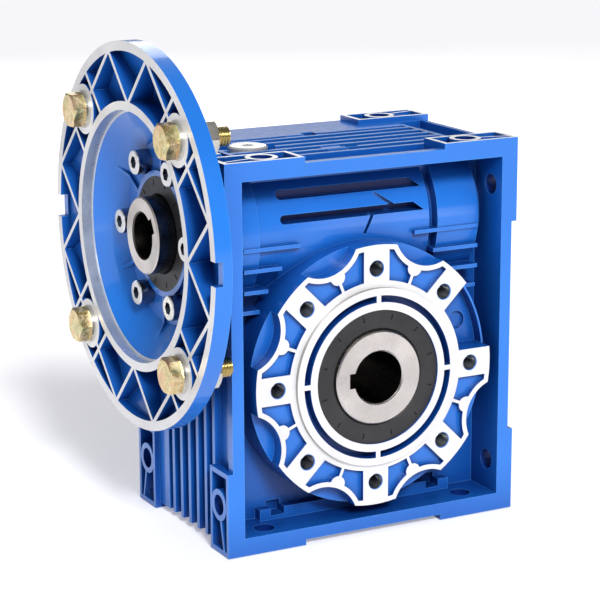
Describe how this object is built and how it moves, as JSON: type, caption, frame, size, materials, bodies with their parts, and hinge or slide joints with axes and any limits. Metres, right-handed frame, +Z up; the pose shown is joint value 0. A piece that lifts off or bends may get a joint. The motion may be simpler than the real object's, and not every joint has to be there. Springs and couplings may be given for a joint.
{
  "type": "worm gearbox",
  "caption": "Right-angle worm gearbox with a square ribbed housing, a hollow keyed output shaft and a round motor flange on the input side.",
  "frame": {"origin": "centre of the output bore, on the housing's mid-plane", "axes": "+X along the worm shaft away from the motor flange, +Y along the output shaft from the open front to the covered rear, +Z up from the output shaft to the worm shaft"},
  "size_m": [0.2074, 0.2, 0.261],
  "materials": {
    "paint": "glossy blue paint on cast aluminium, mating faces machined bare",
    "bolt_zinc": "yellow zinc plate, bright",
    "nut_zinc": "pale zinc plate",
    "screw_steel": "bright zinc plate",
    "seal_rubber": "dark grey nitrile rubber, satin",
    "oring_rubber": "black nitrile rubber",
    "plug_steel": "zinc plate",
    "copper": "plain copper",
    "spring_steel": "phosphated spring steel",
    "bearing_steel": "ground bearing steel",
    "cage_brass": "machined brass",
    "shaft_steel": "turned steel",
    "bronze": "cast bronze, hobbed teeth"
  },
  "bodies": {
    "casing": {"housing": "paint", "input_bearing_outer_ring": "bearing_steel", "input_seal": "seal_rubber", "motor_bolt_nuts": "nut_zinc", "motor_bolt_washers": "nut_zinc", "motor_bolts": "bolt_zinc", "motor_flange": "paint", "motor_flange_oring": "oring_rubber", "motor_flange_screws": "screw_steel", "oil_drain_plug": "plug_steel", "oil_filler_plug": "plug_steel", "oil_plug_washers": "copper", "output_bearing_outer_rings": "bearing_steel", "output_seal_front": "seal_rubber", "output_seal_rear": "seal_rubber", "rear_cover": "paint", "rear_cover_oring": "oring_rubber", "rear_cover_screws": "screw_steel", "tail_bearing_outer_ring": "bearing_steel", "tail_retaining_ring": "spring_steel", "worm_end_cap": "seal_rubber"},
    "wheel": {"output_shaft": "shaft_steel", "worm_wheel": "bronze", "output_bearing_inner_rings": "bearing_steel"},
    "worm": {"worm_shaft": "shaft_steel", "input_bearing_inner_ring": "bearing_steel", "tail_bearing_inner_ring": "bearing_steel"},
    "output_ball_sets": {"output_bearing_balls": "bearing_steel", "output_bearing_cages": "cage_brass"},
    "input_ball_set": {"input_bearing_balls": "bearing_steel", "input_bearing_cage": "cage_brass"},
    "tail_ball_set": {"tail_bearing_balls": "bearing_steel", "tail_bearing_cage": "cage_brass"}
  },
  "joints": [
    {"name": "output_spin", "type": "hinge", "parent": "casing", "child": "wheel", "pos_m": [0, 0, 0], "axis": [0, 1, 0], "continuous": true},
    {"name": "worm_spin", "type": "hinge", "parent": "casing", "child": "worm", "pos_m": [0, 0, 0.075], "axis": [1, 0, 0], "continuous": true},
    {"name": "output_balls_spin", "type": "hinge", "parent": "casing", "child": "output_ball_sets", "pos_m": [0, 0, 0], "axis": [0, 1, 0], "continuous": true},
    {"name": "input_balls_spin", "type": "hinge", "parent": "casing", "child": "input_ball_set", "pos_m": [0, 0, 0.075], "axis": [1, 0, 0], "continuous": true},
    {"name": "tail_balls_spin", "type": "hinge", "parent": "casing", "child": "tail_ball_set", "pos_m": [0, 0, 0.075], "axis": [1, 0, 0], "continuous": true}
  ],
  "couplings": [
    {"joint": "worm_spin", "follows": "output_spin", "ratio": -30},
    {"joint": "output_balls_spin", "follows": "output_spin", "ratio": 0.4331},
    {"joint": "input_balls_spin", "follows": "output_spin", "ratio": -12.806},
    {"joint": "tail_balls_spin", "follows": "output_spin", "ratio": -11.463}
  ]
}
